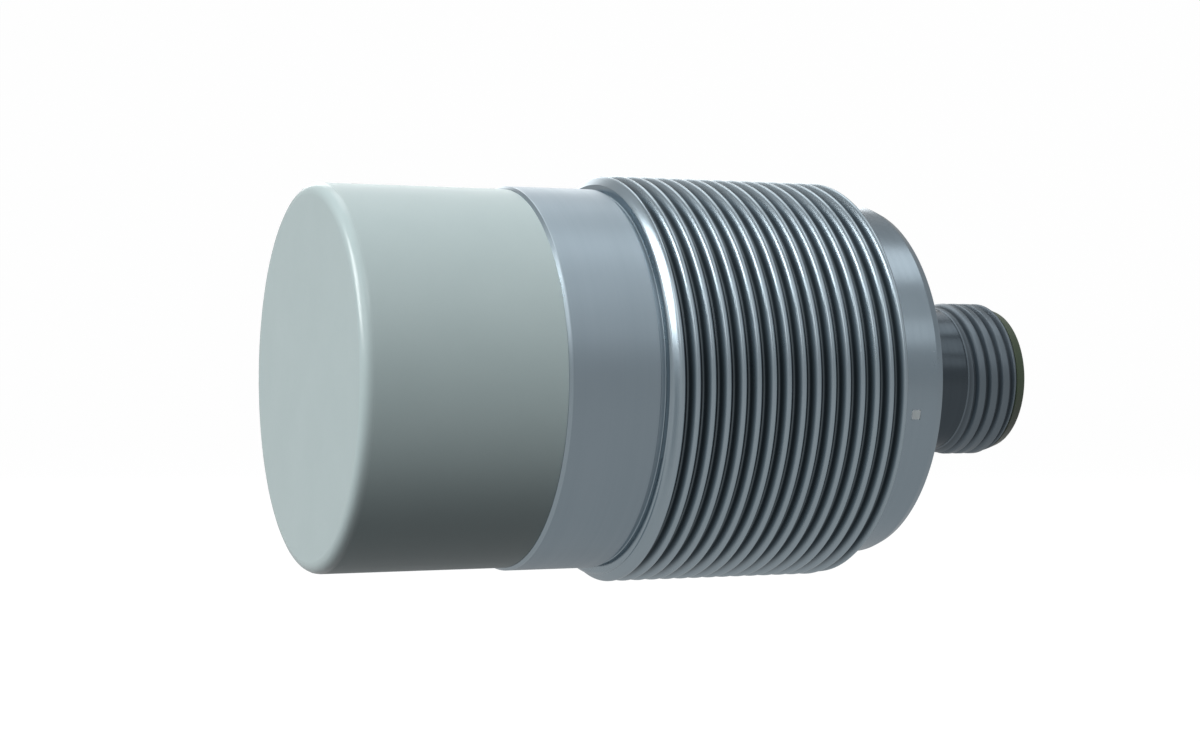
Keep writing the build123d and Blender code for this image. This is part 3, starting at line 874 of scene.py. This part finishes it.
def paperMaterial(look):  # shows pale to the eye and in reflections, and throws little light on the sensor
    material = bpy.data.materials.new("studioPaper")
    material.use_nodes = True
    tree = material.node_tree
    shader = tree.nodes["Principled BSDF"]
    shader.inputs["Base Color"].default_value = (*look["colour"], 1.0)
    shader.inputs["Roughness"].default_value = look["roughness"]
    shader.inputs["Specular IOR Level"].default_value = 0.0
    path = tree.nodes.new("ShaderNodeLightPath").outputs
    seen = mathNode(tree, "MAXIMUM", path["Is Camera Ray"], path["Is Transmission Ray"])
    direct = mathNode(tree, "MULTIPLY", seen, look["glow"])
    mirrored = mathNode(tree, "MULTIPLY", path["Is Glossy Ray"], look["mirrored"])
    shader.inputs["Emission Color"].default_value = (1.0, 1.0, 1.0, 1.0)
    tree.links.new(mathNode(tree, "MAXIMUM", direct, mirrored), shader.inputs["Emission Strength"])
    return material


def sheet(name, points, material):  # points come in pairs, and each pair is joined to the next
    mesh = bpy.data.meshes.new(name)
    faces = [(index, index + 1, index + 3, index + 2) for index in range(0, len(points) - 2, 2)]
    mesh.from_pydata(points, [], faces)
    mesh.materials.append(material)
    mesh.shade_smooth()
    return addToScene(name, mesh)


def makeStage(size):
    paper = paperMaterial(paperLook)
    half, height, bend, steps = (size[key] for key in ("floorHalf", "floorHeight", "bend", "bendSteps"))
    floor = sheet("studioFloor", [(x, y, height) for y in (-half, half) for x in (-half, half)], paper)
    ahead, right = lookDirections()
    side = right * size["wallHalf"]
    profile = []
    for step in range(steps + 1):
        turn = math.pi / 2 * step / steps
        rise = height + size["lift"] + bend * (1 - math.cos(turn))
        profile.append((size["wallDistance"] + bend * math.sin(turn), rise))
    profile.append((size["wallDistance"] + bend, size["wallTop"]))
    points = []
    for away, rise in profile:
        middle = ahead * away + Vector((0, 0, rise))
        points += [middle - side, middle + side]
    wall = sheet("studioBackdrop", points, paper)


# Each lamp is a soft box: bearing from +X towards +Y and height angle in degrees, distance and size in metres
aimPoint = Vector((28 * mm, 0, 0))
plainLamp = {"distance": 0.6, "mirrored": True}
lamps = {
    "leftKey": {"bearing": 167, "height": 25, "size": (0.3, 0.3), "power": 2.1},
    "leftLow": {"bearing": 190, "height": 6, "size": (0.3, 0.3), "power": 0.95, "mirrored": False},
    "leftFront": {"bearing": 215, "height": 30, "size": (0.3, 0.3), "power": 0.35},
    "top": {"bearing": 270, "height": 85, "size": (0.4, 0.3), "power": 0.2},
    "topBack": {"bearing": 80, "height": 60, "size": (0.4, 0.3), "power": 0.5},
    "topFront": {"bearing": 285, "height": 50, "size": (0.4, 0.25), "power": 0.24},
    "topFill": {"bearing": 270, "height": 50, "size": (0.4, 0.25), "power": 1.5, "mirrored": False},
    "rightHigh": {"bearing": 345, "height": 66, "size": (0.25, 0.35), "power": 0.28},
    "frontMiddle": {"bearing": 296, "height": 26, "size": (0.5, 0.15), "power": 0.12},
    "backWide": {"bearing": 75, "height": 24, "distance": 0.8, "size": (0.5, 0.3), "power": 0.9},
}


def makeLamps():
    for label, settings in lamps.items():
        lamp = {**plainLamp, **settings}
        data = bpy.data.lights.new(label, "AREA")
        data.shape = "RECTANGLE"
        data.size, data.size_y = lamp["size"]
        data.energy = lamp["power"]
        bearing, height = math.radians(lamp["bearing"]), math.radians(lamp["height"])
        away = Vector((math.cos(bearing) * math.cos(height), math.sin(bearing) * math.cos(height), math.sin(height)))
        light = addToScene(label, data)
        light.location = aimPoint + away * lamp["distance"]
        light.rotation_euler = away.to_track_quat("Z", "Y").to_euler()
        light.visible_glossy = lamp["mirrored"]


worldLook = {"colour": (0.02, 0.022, 0.024), "mirrored": (0.4, 0.41, 0.42), "strength": 1.0}


def makeWorld(look):  # a dim, even room that shows pale in metal and clear plastic
    world = bpy.data.worlds.new("studioRoom")
    bpy.context.scene.world = world
    world.use_nodes = True
    tree = world.node_tree
    room = tree.nodes["Background"]
    path = tree.nodes.new("ShaderNodeLightPath").outputs
    seen = mathNode(tree, "MAXIMUM", path["Is Glossy Ray"], path["Is Transmission Ray"])
    tree.links.new(mixColour(tree, seen, look["colour"], look["mirrored"]), room.inputs["Color"])
    room.inputs["Strength"].default_value = look["strength"]


makeStage(stageSize)
makeLamps()
makeWorld(worldLook)
makeCamera(cameraSize)
bpy.context.scene.view_settings.view_transform = "Standard"
print("stage, lamps and camera made")
